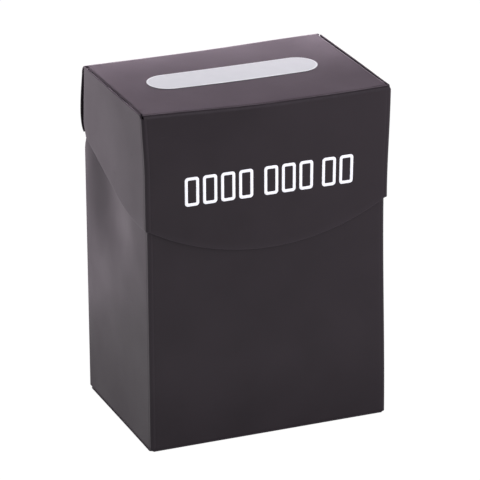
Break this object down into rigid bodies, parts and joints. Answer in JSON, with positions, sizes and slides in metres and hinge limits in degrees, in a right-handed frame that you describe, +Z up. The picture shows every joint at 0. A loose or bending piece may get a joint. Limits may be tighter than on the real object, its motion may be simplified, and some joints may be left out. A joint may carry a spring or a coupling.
{
  "type": "card deck box",
  "caption": "Tall flip-top box folded from thin dark plastic sheet, with an overlapping lid on a living hinge, a pale write-on label on top and a loose divider for sleeved cards.",
  "frame": {"origin": "centre of the body's flat base, on the surface that it stands on", "axes": "+Z up through the lid, -Y out of the front with the curved lid edge, +X to the right seen from the front"},
  "size_m": [0.0714, 0.0524, 0.0971],
  "materials": {
    "black_polypropylene": "satin, with the fine embossed texture of extruded sheet",
    "divider_polypropylene": "satin sheet",
    "seam_adhesive": "dull, translucent",
    "label_film": "smooth write-on film",
    "white_ink": "silk-screened ink"
  },
  "bodies": {
    "box": {"front_panel": "black_polypropylene", "back_panel": "black_polypropylene", "bottom_panel": "black_polypropylene", "left_outer_side_panel": "black_polypropylene", "right_outer_side_panel": "black_polypropylene", "left_inner_side_flap": "black_polypropylene", "right_inner_side_flap": "black_polypropylene", "left_bottom_dust_flap": "black_polypropylene", "right_bottom_dust_flap": "black_polypropylene", "left_seam_adhesive": "seam_adhesive", "right_seam_adhesive": "seam_adhesive", "living_hinge": "black_polypropylene"},
    "lid": {"lid_back_panel": "black_polypropylene", "lid_top_panel": "black_polypropylene", "lid_front_panel": "black_polypropylene", "lid_left_outer_flap": "black_polypropylene", "lid_right_outer_flap": "black_polypropylene", "lid_left_inner_flap": "black_polypropylene", "lid_right_inner_flap": "black_polypropylene", "lid_left_seam_adhesive": "seam_adhesive", "lid_right_seam_adhesive": "seam_adhesive", "write_on_label": "label_film", "front_print": "white_ink"},
    "divider": {"card_divider": "divider_polypropylene"}
  },
  "joints": [
    {"name": "lid_hinge", "type": "hinge", "parent": "box", "child": "lid", "pos_m": [0, 0.0247, 0.077], "axis": [-1, 0, 0], "range_deg": [0, 110]},
    {"name": "divider_slide", "type": "slide", "parent": "box", "child": "divider", "axis": [0, -1, 0], "range_m": [0, 0.0468]}
  ]
}
